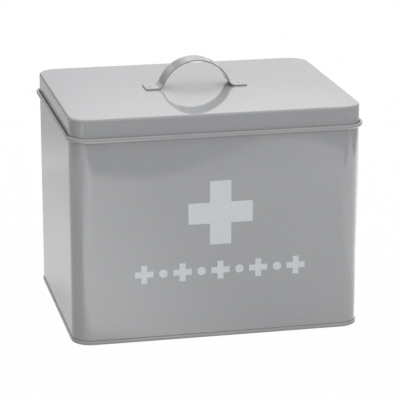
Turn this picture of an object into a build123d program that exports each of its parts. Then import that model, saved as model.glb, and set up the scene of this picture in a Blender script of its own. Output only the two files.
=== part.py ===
"""A painted metal box with a lift-off lid, a rim gutter and a strap handle.

Millimetres, +Z up. The origin is on the table under the middle of the box, and the front faces -Y.
"""

import os
from math import asin, cos, degrees, radians, sin, sqrt

from build123d import *

os.makedirs("parts", exist_ok=True)

# Overall sizes
lid_width = 220.0  # left to right, over the lid's skirt
lid_depth = 174.0  # front to back, over the lid's skirt
lid_top = 172.5  # height of the lid's upper edge above the table
corner_radius = 15.0  # plan radius of the lid's corners
sheet = 0.5  # thickness of the steel sheet

# Fits
lid_overhang = 0.1  # how far the lid's skirt stands out from the wall below it
seam_gap = 0.05  # between the layers of a seam
seat_gap = 0.3  # from the skirt's lower edge to the gutter's floor
neck_gap = 0.5  # between the skirt's hem and the neck inside it
hole_gap = 0.05  # round a rivet's shank

# Rim gutter, rolled from the wall's upper edge
gutter_bottom = 155.2  # height of its underside
gutter_floor_thickness = 0.6
lip_reach = 2.65  # how far the lip stands out beyond the lid's skirt
lip_thickness = 2.1  # the lip is a rolled bead
lip_height = 3.6  # from the gutter's underside to the top of the lip
gutter_under_round = 1.6
gutter_inner_round = 0.3
gutter_crease_round = 0.5
lip_round = 0.95

# Base panel and the seam that joins it to the wall
base_recess = 3.0  # height of the panel's underside above the table
seam_height = 2.9  # height of the seam's outer leg
hook_height = 2.2  # length of the wall's edge that is folded outwards in the seam
seam_step = 0.45  # how far the wall's foot is set in, so that the seam stands out less
step_gap = 0.25  # from the seam's upper edge to the step above it
step_round = 0.25
seam_foot_round = 0.4
seam_top_round = 0.4

# Lock seam, where the wall sheet's two ends are folded together at the back
lock_seam_width = 6.0
lock_seam_proud = 0.6
lock_seam_clear = 0.8  # left free at the gutter and at the base seam
lock_seam_round = 0.3

# Neck collar
collar_band = 14.0  # height of the part that lies against the wall
neck_rise = 10.0  # height of the neck above the gutter's floor
neck_bead = 1.2  # width and height of the curled upper edge
neck_bead_round = 0.5

# Lid
lid_crown = 1.2  # how far the middle of the lid's top bulges above its edges
crown_power = 10  # a higher power keeps the crown level for longer towards the two ends
crown_margin = 1.0  # how far the crown's surface is drawn beyond the lid
lid_edge_round = 1.5
hem_height = 4.0
hem_round = 0.3

# Handle
strap_width = 17.6
strap_thickness = 1.2
foot_length = 8.8  # the flat length of each foot
arch_radius = 28.2  # outer radius of the arch
arch_rise = 23.2  # from the lid's upper edge to the top of the arch
foot_bend_radius = 5.0  # inner radius of the bend between the foot and the arch
strap_edge_round = 0.5
strap_corner_round = 1.2

# Rivets, one in the middle of each foot
rivet_shank_radius = 1.5
rivet_head_radius = 2.0
rivet_head_height = 0.2
rivet_head_round = 0.15
rivet_tail_radius = 2.1
rivet_tail_height = 0.7
rivet_tail_round = 0.3

# Print on the front
ink = 0.1  # thickness of the printed layer
print_shift = 0.9  # the print's middle lies a little right of the box's middle
cross_height = 97.0  # height of the cross's middle
cross_span = 49.0
cross_bar = 16.2
row_height = 52.3  # height of the middle of the row of marks
row_length = 130.0  # over the row's end marks
row_marks = 9
plus_span = 14.0
plus_bar = 4.6
dot_radius = 3.2

# Distances from the face of the lid's skirt, where more is further out
wall_out = -lid_overhang
wall_in = wall_out - sheet
lip_in = lip_reach - lip_thickness
foot_out = wall_out - seam_step
foot_in = foot_out - sheet
hook_out = foot_out + sheet
leg_in = hook_out + seam_gap
leg_out = leg_in + sheet
panel_out = foot_in - seam_gap
panel_in = panel_out - sheet
hem_in = -(2 * sheet + seam_gap)
neck_out = hem_in - neck_gap
neck_in = neck_out - sheet
collar_out = wall_in - seam_gap
collar_in = collar_out - sheet

# Heights
gutter_floor = gutter_bottom + gutter_floor_thickness
lip_top = gutter_bottom + lip_height
wall_foot = sheet + seam_gap
step_level = seam_height + step_gap
skirt_foot = gutter_floor + seat_gap
neck_top = gutter_floor + neck_rise
arch_middle = lid_top + arch_rise - arch_radius


def crown_level(across):
    """Height of the lid's crowned top above the table, at a distance to one side of its middle."""
    place = 0.5 + across / (lid_width + 2 * crown_margin)
    return lid_top + lid_crown * (1 - place**crown_power - (1 - place) ** crown_power)


def bend_distance(foot_level):
    """How far from the middle the strap's bend ends, when its feet lie at one height."""
    rise = foot_level + strap_thickness + foot_bend_radius - arch_middle
    return sqrt((arch_radius + foot_bend_radius) ** 2 - rise**2)


# The strap's bends: each is a circle that touches the foot's top and the arch's outside.
# The feet are level and touch the crown where the bends end.
foot_level = crown_level(bend_distance(lid_top + lid_crown))
strap_foot_top = foot_level + strap_thickness
bend_height = strap_foot_top + foot_bend_radius
bend_reach = bend_distance(foot_level)
bend_angle = degrees(asin((bend_height - arch_middle) / (arch_radius + foot_bend_radius)))
strap_end = bend_reach + foot_length
rivet_place = bend_reach + foot_length / 2
rivet_spots = [(-rivet_place, 0), (rivet_place, 0)]
tail_level = crown_level(rivet_place + rivet_tail_radius) - sheet


def outline(reach, mode=Mode.ADD):
    """Draw the box's plan, a rounded rectangle, at a distance from the face of the lid's skirt."""
    width = lid_width + 2 * reach
    depth = lid_depth + 2 * reach
    RectangleRounded(width, depth, corner_radius + reach, mode=mode)


def ring(outer, inner, bottom, top, mode=Mode.ADD):
    """Extrude a band that follows the box's plan between two heights."""
    with BuildSketch(Plane.XY.offset(bottom)) as band:
        outline(outer)
        outline(inner, mode=Mode.SUBTRACT)
    extrude(band.sketch, amount=top - bottom, mode=mode)


def level_faces(part, height):
    """Pick the part's flat faces that lie at one height, from the smallest to the largest."""
    flat = part.faces().filter_by(Plane.XY)
    return flat.filter_by(lambda face: abs(face.center().Z - height) < seam_gap / 2).sort_by(SortBy.AREA)


# Body wall: one sheet bent round the box, set in and hooked outwards at its foot, and rolled into a
# gutter at its top
with BuildPart() as body_wall:
    ring(wall_out, wall_in, step_level, gutter_floor)
    ring(wall_out, foot_in, step_level, step_level + sheet)
    ring(foot_out, foot_in, wall_foot, step_level)
    ring(hook_out, foot_in, wall_foot, wall_foot + hook_height)
    step_face = level_faces(body_wall, step_level)[0]
    fillet(step_face.outer_wire().edges(), step_round)
    ring(lip_reach, wall_in, gutter_bottom, lip_top)
    ring(lip_in, wall_in, gutter_floor, lip_top, mode=Mode.SUBTRACT)

    gutter_underside = level_faces(body_wall, gutter_bottom)[0]
    fillet(gutter_underside.outer_wire().edges(), gutter_under_round)
    gutter_underside = level_faces(body_wall, gutter_bottom)[0]
    fillet(gutter_underside.inner_wires()[0].edges(), gutter_crease_round)
    floor_face = level_faces(body_wall, gutter_floor)[0]
    fillet(floor_face.outer_wire().edges(), gutter_inner_round)
    fillet(level_faces(body_wall, lip_top)[0].edges(), lip_round)

    back = lid_depth / 2 + wall_out
    lock_seam_bottom = step_level + lock_seam_clear
    lock_seam_top = gutter_bottom - lock_seam_clear
    with BuildSketch(Plane.XY.offset(lock_seam_bottom)):
        with Locations((0, back + (lock_seam_proud - sheet / 2) / 2)):
            Rectangle(lock_seam_width, lock_seam_proud + sheet / 2)
    extrude(amount=lock_seam_top - lock_seam_bottom)
    lock_seam_middle = (0, back + lock_seam_proud, (lock_seam_bottom + lock_seam_top) / 2)
    lock_seam_face = body_wall.faces().filter_by(Plane.XZ).sort_by_distance(lock_seam_middle)[0]
    fillet(lock_seam_face.edges(), lock_seam_round)

body_wall.part.label = "body_wall"
export_step(body_wall.part, "parts/body_wall.step")

# Base panel: a recessed sheet whose edge runs down inside the wall, under it and up round its hook
with BuildPart() as base_panel:
    with BuildSketch(Plane.XY.offset(base_recess)):
        outline(panel_out)
    extrude(amount=sheet)
    ring(panel_out, panel_in, 0, base_recess)
    ring(leg_out, panel_in, 0, sheet)
    ring(leg_out, leg_in, 0, seam_height)

    fillet(level_faces(base_panel, 0)[0].edges(), seam_foot_round)
    fillet(level_faces(base_panel, seam_height)[0].outer_wire().edges(), seam_top_round)

base_panel.part.label = "base_panel"
export_step(base_panel.part, "parts/base_panel.step")

# Neck collar: a band fixed inside the wall, stepped in at the gutter's floor to stand inside the lid
with BuildPart() as neck_collar:
    ring(collar_out, collar_in, gutter_floor - collar_band, gutter_floor)
    ring(collar_out, neck_in, gutter_floor - sheet, gutter_floor)
    ring(neck_out, neck_in, gutter_floor - sheet, neck_top)
    ring(neck_out, neck_out - neck_bead, neck_top - neck_bead, neck_top)

    fillet(level_faces(neck_collar, neck_top)[0].edges(), neck_bead_round)

neck_collar.part.label = "neck_collar"
export_step(neck_collar.part, "parts/neck_collar.step")


def crown_face(drop):
    """Draw the lid's crowned top as one smooth patch, level along its four edges, at some depth below."""
    half_width = lid_width / 2 + crown_margin
    half_depth = lid_depth / 2 + crown_margin
    edge_level = lid_top - drop
    poles = []
    for step in range(crown_power + 1):
        across = half_width * (2 * step / crown_power - 1)
        bulge = 0 if step in (0, crown_power) else 2 * lid_crown
        poles.append(
            [
                (across, -half_depth, edge_level),
                (across, 0, edge_level + bulge),
                (across, half_depth, edge_level),
            ]
        )
    return Face.make_bezier_surface(poles)


def lid_block(inset):
    """Make a solid block with the lid's outline, crowned top and round edge, smaller by the inset."""
    with BuildPart() as block:
        with BuildSketch(Plane.XY.offset(skirt_foot)):
            outline(-inset)
        extrude(amount=lid_top + 2 * lid_crown - skirt_foot)
        split(bisect_by=crown_face(inset), keep=Keep.BOTTOM)
        fillet(block.faces().sort_by(Axis.Z)[-1].edges(), lid_edge_round - inset)
    return block.part


# Lid: a drawn shell with a crowned top and a folded hem along the skirt's lower edge
lid_outside = lid_block(0)
lid_inside = lid_block(sheet)
with BuildPart() as lid_shell:
    add(lid_outside)
    add(lid_inside, mode=Mode.SUBTRACT)
    ring(0, hem_in, skirt_foot, skirt_foot + hem_height)

    fillet(level_faces(lid_shell, skirt_foot)[0].edges(), hem_round)
    with BuildSketch(Plane.XY.offset(tail_level)):
        with Locations(*rivet_spots):
            Circle(rivet_shank_radius + hole_gap)
    extrude(amount=foot_level - tail_level, mode=Mode.SUBTRACT)

lid_shell.part.label = "lid_shell"
export_step(lid_shell.part, "parts/lid_shell.step")


def arch_point(radius, angle):
    """A point on a circle about the arch's middle, with the angle counted up from +X."""
    return (radius * cos(radians(angle)), arch_middle + radius * sin(radians(angle)))


def bend_point(side, radius, angle):
    """A point on a circle about the middle of the bend on one side, mirrored for the left side."""
    reach = bend_reach + radius * cos(radians(angle))
    return (side * reach, bend_height + radius * sin(radians(angle)))


def strap_edge(arch, bend, level):
    """Draw one long edge of the strap's side view from the left foot to the right foot."""
    bend_middle = (180 + bend_angle + 270) / 2
    left_joint = arch_point(arch, 180 - bend_angle)
    right_joint = arch_point(arch, bend_angle)
    Line((-strap_end, level), (-bend_reach, level))
    ThreePointArc((-bend_reach, level), bend_point(-1, bend, bend_middle), left_joint)
    ThreePointArc(left_joint, arch_point(arch, 90), right_joint)
    ThreePointArc(right_joint, bend_point(1, bend, bend_middle), (bend_reach, level))
    Line((bend_reach, level), (strap_end, level))


# Handle strap: an arch between two flat feet, with one bend where each foot turns up into the arch
with BuildPart() as handle_strap:
    with BuildSketch(Plane.XZ):
        with BuildLine():
            strap_edge(arch_radius, foot_bend_radius, strap_foot_top)
            strap_edge(arch_radius - strap_thickness, foot_bend_radius + strap_thickness, foot_level)
            Line((-strap_end, foot_level), (-strap_end, strap_foot_top))
            Line((strap_end, foot_level), (strap_end, strap_foot_top))
        make_face()
    extrude(amount=strap_width / 2, both=True)

    foot_ends = handle_strap.faces().filter_by(Plane.YZ)
    fillet(foot_ends.edges().filter_by(Axis.Z), strap_corner_round)
    with BuildSketch(Plane.XY.offset(foot_level)):
        with Locations(*rivet_spots):
            Circle(rivet_shank_radius + hole_gap)
    extrude(amount=strap_thickness, mode=Mode.SUBTRACT)
    long_sides = handle_strap.faces().filter_by(Plane.XZ)
    fillet(long_sides.edges(), strap_edge_round)

handle_strap.part.label = "handle_strap"
export_step(handle_strap.part, "parts/handle_strap.step")

# Rivets: a low head on each foot, a shank through the strap and the lid, and a formed tail inside
with BuildPart() as handle_rivets:
    for spot in rivet_spots:
        with Locations((*spot, tail_level)):
            Cylinder(
                rivet_shank_radius,
                strap_foot_top - tail_level,
                align=(Align.CENTER, Align.CENTER, Align.MIN),
            )
        with Locations((*spot, strap_foot_top)):
            Cylinder(rivet_head_radius, rivet_head_height, align=(Align.CENTER, Align.CENTER, Align.MIN))
        with Locations((*spot, tail_level)):
            Cylinder(rivet_tail_radius, rivet_tail_height, align=(Align.CENTER, Align.CENTER, Align.MAX))
    head_tops = handle_rivets.faces().filter_by(Plane.XY).group_by(Axis.Z)[-1]
    fillet(head_tops.edges(), rivet_head_round)
    tail_ends = handle_rivets.faces().filter_by(Plane.XY).group_by(Axis.Z)[0]
    fillet(tail_ends.edges(), rivet_tail_round)

handle_rivets.part.label = "handle_rivets"
export_step(handle_rivets.part, "parts/handle_rivets.step")


def front_plane(height):
    """A plane on the outside of the front wall, with its normal towards the viewer."""
    front = -(lid_depth / 2 + wall_out)
    return Plane(origin=(print_shift, front, height), x_dir=(1, 0, 0), z_dir=(0, -1, 0))


# Printed cross: a thin layer of ink on the front wall
with BuildPart() as cross_print:
    with BuildSketch(front_plane(cross_height)):
        Rectangle(cross_span, cross_bar)
        Rectangle(cross_bar, cross_span)
    extrude(amount=ink)

cross_print.part.label = "cross_print"
export_step(cross_print.part, "parts/cross_print.step")

# Printed row under the cross: plus marks and dots in turn
with BuildPart() as row_print:
    mark_pitch = (row_length - plus_span) / (row_marks - 1)
    first_mark = -(row_length - plus_span) / 2
    with BuildSketch(front_plane(row_height)):
        for mark in range(row_marks):
            with Locations((first_mark + mark * mark_pitch, 0)):
                if mark % 2 == 0:
                    Rectangle(plus_span, plus_bar)
                    Rectangle(plus_bar, plus_span)
                else:
                    Circle(dot_radius)
    extrude(amount=ink)

row_print.part.label = "row_print"
export_step(row_print.part, "parts/row_print.step")
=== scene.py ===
"""Looks of a painted metal first aid box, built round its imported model.

Metres, in the model's own frame: +Z up, the origin on the table under the box, the front towards -Y.
Levels of light are multiples of plain white.
"""

from math import cos, pi, radians, sin

import bpy
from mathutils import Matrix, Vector

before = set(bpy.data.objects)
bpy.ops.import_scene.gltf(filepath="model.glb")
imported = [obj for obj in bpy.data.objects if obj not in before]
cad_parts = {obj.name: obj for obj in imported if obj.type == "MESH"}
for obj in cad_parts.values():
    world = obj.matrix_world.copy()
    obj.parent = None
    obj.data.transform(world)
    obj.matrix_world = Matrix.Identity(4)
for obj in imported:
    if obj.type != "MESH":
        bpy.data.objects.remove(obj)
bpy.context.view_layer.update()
scene = bpy.context.scene

# Camera, solved from the edges of the box in the photograph
camera_yaw = radians(-12.384)  # from the front round to the left
camera_pitch = radians(16.358)  # above level
camera_distance = 1.60396  # from the point that it is aimed at
camera_aim = Vector((0.004296, 0, 0.081441))
focal_length_in_pixels = 2047.4
image_side_in_pixels = 400
sensor_width_in_mm = 36
nearest_seen = 0.1
farthest_seen = 30

# Paint: a neutral grey enamel with a slight cool cast, as linear light
paint_light = (0.337, 0.342, 0.350, 1)
paint_dark = (0.321, 0.326, 0.334, 1)
paint_index = 1.5
ink_light = (0.588, 0.617, 0.640, 1)
ink_dark = (0.556, 0.585, 0.608, 1)
ink_gloss = (0.30, 0.42)  # lowest and highest roughness

# Lowest and highest roughness of the enamel, and the height of the waves in its sheet in metres
wall_gloss = (0.045, 0.075)
wall_waves = 0.0003
lid_gloss = (0.03, 0.055)
lid_waves = 0.00004
handle_gloss = (0.07, 0.11)
handle_waves = 0.00002

# Sizes of the paint's texture, in features per metre, and their heights in metres
tone_scale = 380
gloss_scale = 160
sheet_wave_scale = 9
orange_peel_scale = 700
orange_peel_height = 0.0000012
ink_speck_scale = 900
ink_height = 0.000004

# Range that holds most of the values of a noise texture
noise_low = 0.3
noise_high = 0.7

# Sockets of a colour mix node, whose names aren't unique in the node
mix_factor = 0
mix_first_colour = 6
mix_second_colour = 7
mix_result = 2

# Studio
white = (1, 1, 1, 1)
floor_half_width = 6
floor_albedo = (0.52, 0.52, 0.52, 1)
floor_seen_glow = 0.985  # how much of the floor that the camera sees is plain white
floor_mirrored_glow = 0.2  # the same for the floor that a mirrored ray meets
ambient_level = 0.22
box_middle = (0, 0, 0.08)

# Heights of the reflection cards that lie just above the floor
sheet_height = 0.001
table_reflection_height = 0.0015

# Outline of the painted reflection of a bright table top, with a front edge given point by point
table_reflection_side = 0.6
table_reflection_back = 0.7
table_reflection_front = [
    (-table_reflection_side, -0.62),
    (-0.30, -0.60),
    (-0.12, -0.575),
    (-0.019, -0.548),
    (0.019, -0.528),
    (0.035, -0.525),
    (0.053, -0.532),
    (0.073, -0.544),
    (0.105, -0.575),
    (0.135, -0.608),
    (0.176, -0.647),
    (0.197, -0.652),
    (0.226, -0.632),
    (0.245, -0.585),
    (0.30, -0.50),
    (table_reflection_side, -0.40),
]
table_reflection_outline = [*table_reflection_front, (table_reflection_side, table_reflection_back), (-table_reflection_side, table_reflection_back)]
glow_line_slope = 0.65  # depth over width of the line at which the front part's glow ends


def add_node(tree, kind, inputs=None, **settings):
    """Add a shader node, set its options, and fill its sockets with values or links."""
    made = tree.nodes.new(kind)
    for option, value in settings.items():
        setattr(made, option, value)
    for socket, value in (inputs or {}).items():
        if isinstance(value, bpy.types.NodeSocket):
            tree.links.new(value, made.inputs[socket])
        else:
            made.inputs[socket].default_value = value
    return made


def new_tree(name):
    """Make an empty material, and give it with its node tree."""
    material = bpy.data.materials.new(name)
    material.use_nodes = True
    material.node_tree.nodes.clear()
    return material, material.node_tree


def noise(tree, place, scale, detail):
    """Add a noise texture fixed to the object, and give its grey output."""
    inputs = {"Vector": place, "Scale": scale, "Detail": detail}
    return add_node(tree, "ShaderNodeTexNoise", inputs).outputs[0]


def spread(tree, value, low, high):
    """Spread the grey values of a noise texture over a range."""
    inputs = {
        "Value": value,
        "From Min": noise_low,
        "From Max": noise_high,
        "To Min": low,
        "To Max": high,
    }
    return add_node(tree, "ShaderNodeMapRange", inputs).outputs[0]


def blend_colours(tree, value, first, second):
    """Mix two colours by a grey value."""
    mix = add_node(tree, "ShaderNodeMix", data_type="RGBA")
    tree.links.new(value, mix.inputs[mix_factor])
    mix.inputs[mix_first_colour].default_value = first
    mix.inputs[mix_second_colour].default_value = second
    return mix.outputs[mix_result]


def enamel(name, offset, gloss_range, wave_height):
    """Gloss enamel on sheet steel: faint changes of tone and gloss, waves in the sheet, and orange peel."""
    material, tree = new_tree(name)
    coordinates = add_node(tree, "ShaderNodeTexCoord").outputs["Object"]
    moved = add_node(tree, "ShaderNodeMapping", {"Vector": coordinates, "Location": offset}).outputs[0]
    tone = spread(tree, noise(tree, moved, tone_scale, detail=4), low=0, high=1)
    gloss = spread(tree, noise(tree, moved, gloss_scale, detail=2), *gloss_range)
    waves = add_node(
        tree,
        "ShaderNodeBump",
        {
            "Height": noise(tree, moved, sheet_wave_scale, detail=0),
            "Strength": 1,
            "Distance": wave_height,
        },
    )
    peel = add_node(
        tree,
        "ShaderNodeBump",
        {
            "Height": noise(tree, moved, orange_peel_scale, detail=1),
            "Strength": 1,
            "Distance": orange_peel_height,
            "Normal": waves.outputs[0],
        },
    )
    shader = add_node(
        tree,
        "ShaderNodeBsdfPrincipled",
        {
            "Base Color": blend_colours(tree, tone, paint_dark, paint_light),
            "Roughness": gloss,
            "IOR": paint_index,
            "Normal": peel.outputs[0],
        },
    )
    add_node(tree, "ShaderNodeOutputMaterial", {"Surface": shader.outputs[0]})
    return material


def print_ink(name):
    """Screen-printed ink: a satin layer with a fine mottle."""
    material, tree = new_tree(name)
    place = add_node(tree, "ShaderNodeTexCoord").outputs["Object"]
    speck = noise(tree, place, ink_speck_scale, detail=2)
    grain = add_node(
        tree,
        "ShaderNodeBump",
        {"Height": speck, "Strength": 1, "Distance": ink_height},
    )
    shader = add_node(
        tree,
        "ShaderNodeBsdfPrincipled",
        {
            "Base Color": blend_colours(tree, spread(tree, speck, low=0, high=1), ink_dark, ink_light),
            "Roughness": spread(tree, noise(tree, place, gloss_scale, detail=2), *ink_gloss),
            "IOR": paint_index,
            "Normal": grain.outputs[0],
        },
    )
    add_node(tree, "ShaderNodeOutputMaterial", {"Surface": shader.outputs[0]})
    return material


def calculate(tree, operation, first, second):
    """Add a maths node, and give its result."""
    return add_node(tree, "ShaderNodeMath", {0: first, 1: second}, operation=operation).outputs[0]


def ramp(tree, value, start, end, first, last):
    """Go smoothly from one level to another as a value goes from start to end."""
    inputs = {"Value": value, "From Min": start, "From Max": end, "To Min": first, "To Max": last}
    return add_node(tree, "ShaderNodeMapRange", inputs, interpolation_type="SMOOTHSTEP").outputs[0]


def white_share(tree, seen, mirrored):
    """One share for rays from the camera, another for mirrored and refracted rays, otherwise zero."""
    path = add_node(tree, "ShaderNodeLightPath")
    bounced = calculate(tree, "MAXIMUM", path.outputs["Is Glossy Ray"], path.outputs["Is Transmission Ray"])
    seen_share = calculate(tree, "MULTIPLY", path.outputs["Is Camera Ray"], seen)
    mirrored_share = calculate(tree, "MULTIPLY", bounced, mirrored)
    return calculate(tree, "MAXIMUM", seen_share, mirrored_share)


def softbox(name, place, target, width, height, level):
    """Add a rectangular lamp whose face has a given level. It lights, but isn't seen or mirrored."""
    light = bpy.data.lights.new(name, "AREA")
    light.shape = "RECTANGLE"
    light.size = width
    light.size_y = height
    light.energy = level * width * height * pi
    lamp = bpy.data.objects.new(name, light)
    lamp.location = place
    lamp.rotation_mode = "QUATERNION"
    lamp.rotation_quaternion = (Vector(target) - Vector(place)).to_track_quat("-Z", "Y")
    lamp.visible_camera = False
    lamp.visible_glossy = False
    scene.collection.objects.link(lamp)


def reflection_card(name, corners):
    """Add a flat card that only mirrored rays meet, which carries a painted reflection, and give its node
    tree and place on it.
    """
    mesh = bpy.data.meshes.new(name)
    mesh.from_pydata(corners, [], [range(len(corners))])
    card = bpy.data.objects.new(name, mesh)
    scene.collection.objects.link(card)
    material, tree = new_tree(name)
    mesh.materials.append(material)
    card.visible_camera = False
    card.visible_diffuse = False
    card.visible_shadow = False
    place = add_node(tree, "ShaderNodeTexCoord").outputs["Object"]
    return tree, add_node(tree, "ShaderNodeSeparateXYZ", {"Vector": place}).outputs


def upright_card(name, distance, left, right, low, high):
    """Add an upright reflection card behind the box, square to the depth."""
    corners = [
        (left, distance, low),
        (right, distance, low),
        (right, distance, high),
        (left, distance, high),
    ]
    return reflection_card(name, corners)


def lying_card(name, left, right, near, far):
    """Add a reflection card that lies on the floor."""
    corners = [(left, near), (right, near), (right, far), (left, far)]
    return reflection_card(name, [(x, y, sheet_height) for x, y in corners])


def plain_glow(tree, level):
    """Finish a card's nodes with a glow of some level."""
    card_glow = add_node(tree, "ShaderNodeEmission", {"Color": white, "Strength": level})
    add_node(tree, "ShaderNodeOutputMaterial", {"Surface": card_glow.outputs[0]})


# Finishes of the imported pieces
wall_enamel = enamel("wall_enamel", offset=(0, 0, 0), gloss_range=wall_gloss, wave_height=wall_waves)
lid_enamel = enamel("lid_enamel", offset=(0.37, 0.11, 0.23), gloss_range=lid_gloss, wave_height=lid_waves)
handle_enamel = enamel(
    "handle_enamel",
    offset=(0.73, 0.29, 0.41),
    gloss_range=handle_gloss,
    wave_height=handle_waves,
)
ink = print_ink("print_ink_finish")
finishes = {
    "body_wall": wall_enamel,
    "base_panel": wall_enamel,
    "neck_collar": wall_enamel,
    "lid_shell": lid_enamel,
    "handle_strap": handle_enamel,
    "handle_rivets": handle_enamel,
    "cross_print": ink,
    "row_print": ink,
}
for node_name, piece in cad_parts.items():
    for material_slot in piece.material_slots:
        material_slot.material = finishes[node_name]

# Floor
floor_mesh = bpy.data.meshes.new("floor")
edge = floor_half_width
floor_corners = [(-edge, -edge, 0), (edge, -edge, 0), (edge, edge, 0), (-edge, edge, 0)]
floor_mesh.from_pydata(floor_corners, [], [range(len(floor_corners))])
floor = bpy.data.objects.new("floor", floor_mesh)
scene.collection.objects.link(floor)

floor_material, floor_tree = new_tree("floor_paper")
paper = add_node(floor_tree, "ShaderNodeBsdfDiffuse", {"Color": floor_albedo})
glow = add_node(floor_tree, "ShaderNodeEmission", {"Color": white, "Strength": 1})
glow_share = white_share(floor_tree, seen=floor_seen_glow, mirrored=floor_mirrored_glow)
floor_surface = add_node(
    floor_tree,
    "ShaderNodeMixShader",
    {0: glow_share, 1: paper.outputs[0], 2: glow.outputs[0]},
)
add_node(floor_tree, "ShaderNodeOutputMaterial", {"Surface": floor_surface.outputs[0]})
floor.data.materials.append(floor_material)

# World
world = bpy.data.worlds.new("studio")
world.use_nodes = True
scene.world = world
world_tree = world.node_tree
world_tree.nodes.clear()
ambient = add_node(world_tree, "ShaderNodeBackground", {"Color": white, "Strength": ambient_level})
backdrop = add_node(world_tree, "ShaderNodeBackground", {"Color": white, "Strength": 1})
sky = add_node(
    world_tree,
    "ShaderNodeMixShader",
    {0: white_share(world_tree, seen=1, mirrored=1), 1: ambient.outputs[0], 2: backdrop.outputs[0]},
)
add_node(world_tree, "ShaderNodeOutputWorld", {"Surface": sky.outputs[0]})

# Lamps
softbox(
    "top_softbox",
    place=(0.1, 0.1, 1.6),
    target=(0.1, 0.1, 0),
    width=2.6,
    height=2.2,
    level=1.2,
)
softbox(
    "key_softbox",
    place=(0, -2.4, 1.3),
    target=box_middle,
    width=3,
    height=2,
    level=2.05,
)
softbox(
    "back_softbox",
    place=(0.1, 1.8, 1.6),
    target=box_middle,
    width=3.2,
    height=1.5,
    level=3.5,
)

# Painted reflection of a back wall far behind the box: a glowing card that only mirrored rays meet, which
# the lid mirrors, brightest in its middle heights
back_card_tree, on_back_card = upright_card("back_painted_reflection", distance=2.6, left=-2.5, right=3, low=0.3, high=2.2)
back_card_rise = ramp(back_card_tree, on_back_card["Z"], start=0.66, end=1.12, first=0.8, last=1.3)
back_card_fall = ramp(back_card_tree, on_back_card["Z"], start=1.3, end=2.1, first=1.3, last=1)
back_card_upwards = calculate(back_card_tree, "MINIMUM", back_card_rise, back_card_fall)
back_card_left = ramp(back_card_tree, on_back_card["X"], start=-0.35, end=0.43, first=0.15, last=1)
back_card_right = ramp(back_card_tree, on_back_card["X"], start=0.5, end=1, first=1, last=1.08)
back_card_across = calculate(back_card_tree, "MULTIPLY", back_card_left, back_card_right)
plain_glow(back_card_tree, calculate(back_card_tree, "MULTIPLY", back_card_upwards, back_card_across))

# Painted reflection behind the box on the left: a glowing grey card that only mirrored rays meet, brighter
# to the right and upwards
card_tree, on_card = upright_card("left_painted_reflection", distance=1, left=-1.4, right=-0.02, low=0, high=0.45)
card_across = ramp(card_tree, on_card["X"], start=-0.4, end=-0.02, first=0.1, last=0.9)
card_upwards = ramp(card_tree, on_card["Z"], start=0.25, end=0.45, first=0.1, last=0.7)
plain_glow(card_tree, calculate(card_tree, "MAXIMUM", card_across, card_upwards))

# Painted dark reflection far to the left of the box: a glowing sheet on the floor that only mirrored rays
# meet, darker to the left
dark_tree, on_dark = lying_card("far_left_painted_dark_reflection", left=-1.6, right=-0.5, near=-0.7, far=1)
plain_glow(dark_tree, ramp(dark_tree, on_dark["X"], start=-0.8, end=-0.5, first=0.05, last=0.86))

# Painted reflection behind the box on the left: a glowing sheet on the floor that only mirrored rays meet,
# a little darker with distance
grey_tree, on_grey = lying_card("back_left_painted_reflection", left=-0.5, right=-0.05, near=0.4, far=1)
plain_glow(grey_tree, ramp(grey_tree, on_grey["Y"], start=0.4, end=0.6, first=0.86, last=0.62))

# Painted reflection in front of the box, partly under the painted table reflection: a glowing sheet on the
# floor that only mirrored rays meet, darker towards the camera
front_tree, on_front = lying_card("front_painted_reflection", left=-0.5, right=0.9, near=-1.2, far=-0.48)
plain_glow(front_tree, ramp(front_tree, on_front["Y"], start=-0.58, end=-0.48, first=0.45, last=0.86))

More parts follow.
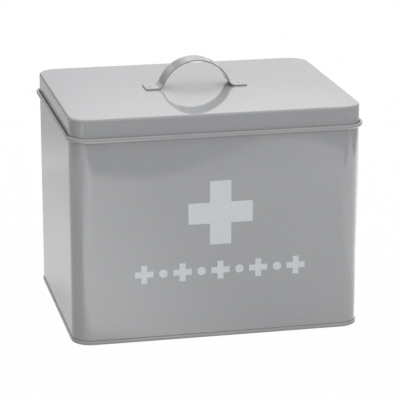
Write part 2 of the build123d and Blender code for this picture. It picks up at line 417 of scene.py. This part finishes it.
# Painted reflection of a bright table top: a glowing patch round the box that only mirrored rays meet,
# whose glow adds to the floor's in reflections
table_reflection_tree, over = reflection_card("painted_table_reflection", [(x, y, table_reflection_height) for x, y in table_reflection_outline])
left_level = ramp(table_reflection_tree, over["X"], start=-0.10, end=0.06, first=2.2, last=0.85)
right_level = ramp(table_reflection_tree, over["X"], start=0.16, end=0.26, first=0, last=0.5)
far_left_share = ramp(table_reflection_tree, over["X"], start=-0.45, end=-0.2, first=0.3, last=1)
near_level = calculate(table_reflection_tree, "MULTIPLY", left_level, far_left_share)
across_level = calculate(table_reflection_tree, "ADD", near_level, right_level)

# The part in front is bright up to a line that runs to the left and forwards from the box's corner
slant = calculate(table_reflection_tree, "MULTIPLY", over["X"], glow_line_slope)
line_distance = calculate(table_reflection_tree, "SUBTRACT", over["Y"], slant)
front_share = ramp(table_reflection_tree, line_distance, start=-0.08, end=0.0045, first=1, last=0)
depth_share = ramp(table_reflection_tree, over["Y"], start=-0.5, end=-0.12, first=1.1, last=1.35)
depth_level = calculate(table_reflection_tree, "MULTIPLY", across_level, depth_share)
front_level = calculate(table_reflection_tree, "MULTIPLY", depth_level, front_share)
side_level = ramp(table_reflection_tree, over["Y"], start=0.05, end=0.45, first=0.25, last=0)
table_reflection_level = calculate(table_reflection_tree, "MAXIMUM", front_level, side_level)
table_reflection_glow = add_node(table_reflection_tree, "ShaderNodeEmission", {"Color": white, "Strength": table_reflection_level})
clear = add_node(table_reflection_tree, "ShaderNodeBsdfTransparent")
table_reflection_surface = add_node(table_reflection_tree, "ShaderNodeAddShader", {0: table_reflection_glow.outputs[0], 1: clear.outputs[0]})
add_node(table_reflection_tree, "ShaderNodeOutputMaterial", {"Surface": table_reflection_surface.outputs[0]})

# Camera
back = Vector(
    (
        sin(camera_yaw) * cos(camera_pitch),
        -cos(camera_yaw) * cos(camera_pitch),
        sin(camera_pitch),
    )
)
camera_data = bpy.data.cameras.new("camera")
camera_data.sensor_width = sensor_width_in_mm
camera_data.lens = focal_length_in_pixels / image_side_in_pixels * sensor_width_in_mm
camera_data.clip_start = nearest_seen
camera_data.clip_end = farthest_seen
camera = bpy.data.objects.new("camera", camera_data)
camera.location = camera_aim + back * camera_distance
camera.rotation_mode = "QUATERNION"
camera.rotation_quaternion = (-back).to_track_quat("-Z", "Y")
scene.collection.objects.link(camera)
scene.camera = camera

scene.view_settings.view_transform = "Standard"
